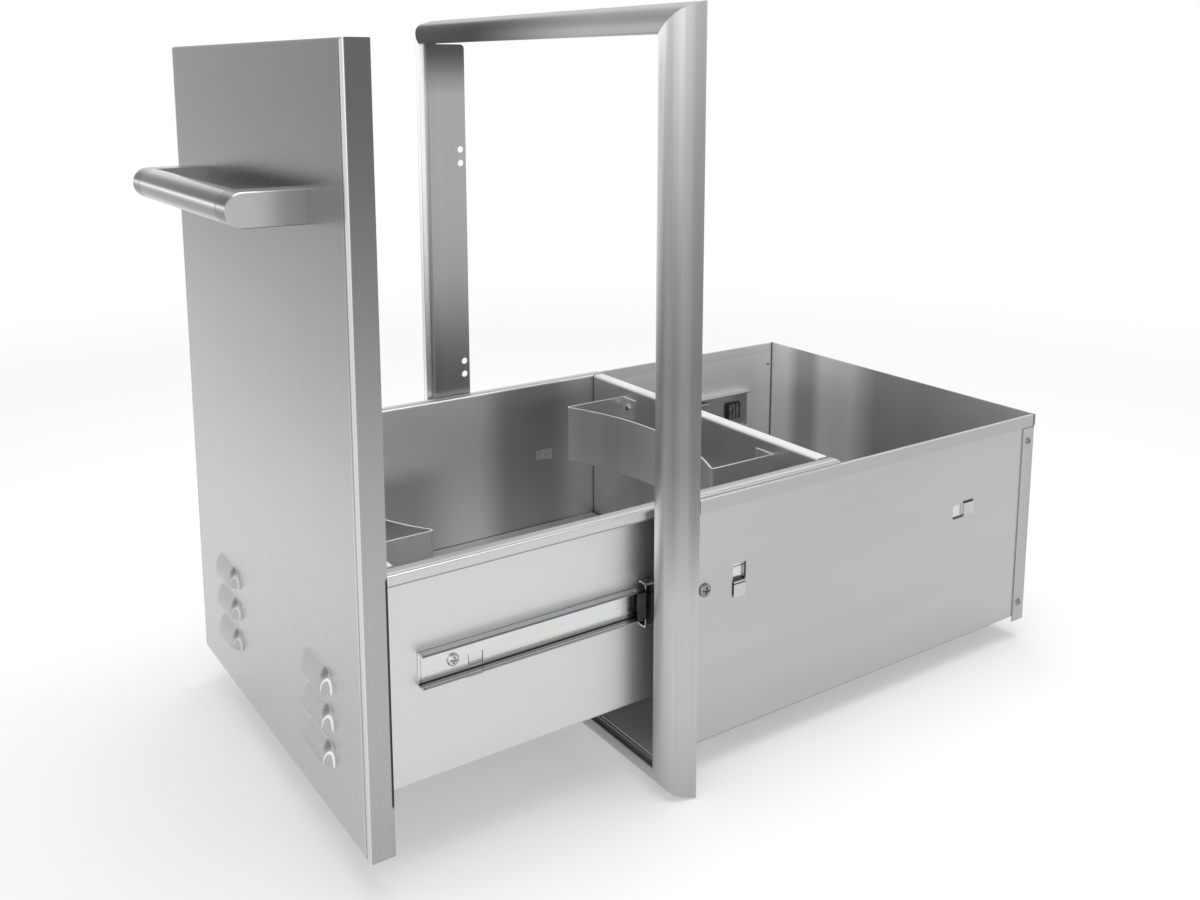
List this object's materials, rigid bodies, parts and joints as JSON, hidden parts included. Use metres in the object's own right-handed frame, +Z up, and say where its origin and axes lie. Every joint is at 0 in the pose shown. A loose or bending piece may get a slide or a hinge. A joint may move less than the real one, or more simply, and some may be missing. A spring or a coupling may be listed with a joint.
{
  "type": "propane tank drawer",
  "caption": "Built-in stainless steel pull-out drawer on ball slides, with trim frame, vented door, bar handle and curved brackets that hold a gas bottle.",
  "frame": {"origin": "middle of the trim frame's bottom edge, on the island's face", "axes": "+X to the right for someone who faces the door, +Y into the island, +Z up"},
  "size_m": [0.43, 0.7568, 0.61],
  "materials": {
    "stainless": "brushed",
    "zinc_steel": "bright zinc plate",
    "black_plastic": "moulded"
  },
  "bodies": {
    "housing": {"frame_top_rail": "stainless", "frame_bottom_rail": "stainless", "frame_left_stile": "stainless", "frame_right_stile": "stainless", "bottom_mounting_flange": "stainless", "left_mounting_flange": "stainless", "right_mounting_flange": "stainless", "case_left_wall": "stainless", "case_right_wall": "stainless", "case_floor": "stainless", "case_back_panel": "stainless", "left_cabinet_rail": "zinc_steel", "right_cabinet_rail": "zinc_steel", "cabinet_rail_screws": "zinc_steel", "left_rail_bumper": "black_plastic", "right_rail_bumper": "black_plastic"},
    "middle_rails": {"left_middle_rail": "zinc_steel", "right_middle_rail": "zinc_steel"},
    "outer_cages": {"left_outer_ball_cage": "black_plastic", "right_outer_ball_cage": "black_plastic"},
    "inner_cages": {"left_inner_ball_cage": "black_plastic", "right_inner_ball_cage": "black_plastic"},
    "drawer": {"drawer_left_wall": "stainless", "drawer_right_wall": "stainless", "drawer_floor": "stainless", "drawer_front_wall": "stainless", "drawer_rear_wall": "stainless", "front_tank_bracket": "stainless", "rear_tank_bracket": "stainless", "door_panel": "stainless", "door_liner": "stainless", "handle_bar": "stainless", "handle_left_arm": "stainless", "handle_right_arm": "stainless", "left_drawer_rail": "zinc_steel", "right_drawer_rail": "zinc_steel", "drawer_rail_screws": "zinc_steel"}
  },
  "joints": [
    {"name": "middle_rail_slide", "type": "slide", "parent": "housing", "child": "middle_rails", "axis": [0, -1, 0], "range_m": [-0.0315, 0.1685]},
    {"name": "drawer_slide", "type": "slide", "parent": "middle_rails", "child": "drawer", "axis": [0, -1, 0], "range_m": [-0.1905, 0.0095]},
    {"name": "outer_cage_roll", "type": "slide", "parent": "housing", "child": "outer_cages", "axis": [0, -1, 0], "range_m": [-0.01575, 0.08425]},
    {"name": "inner_cage_roll", "type": "slide", "parent": "middle_rails", "child": "inner_cages", "axis": [0, -1, 0], "range_m": [-0.09525, 0.00475]}
  ],
  "couplings": [
    {"joint": "outer_cage_roll", "follows": "middle_rail_slide", "ratio": 0.5},
    {"joint": "inner_cage_roll", "follows": "drawer_slide", "ratio": 0.5}
  ]
}
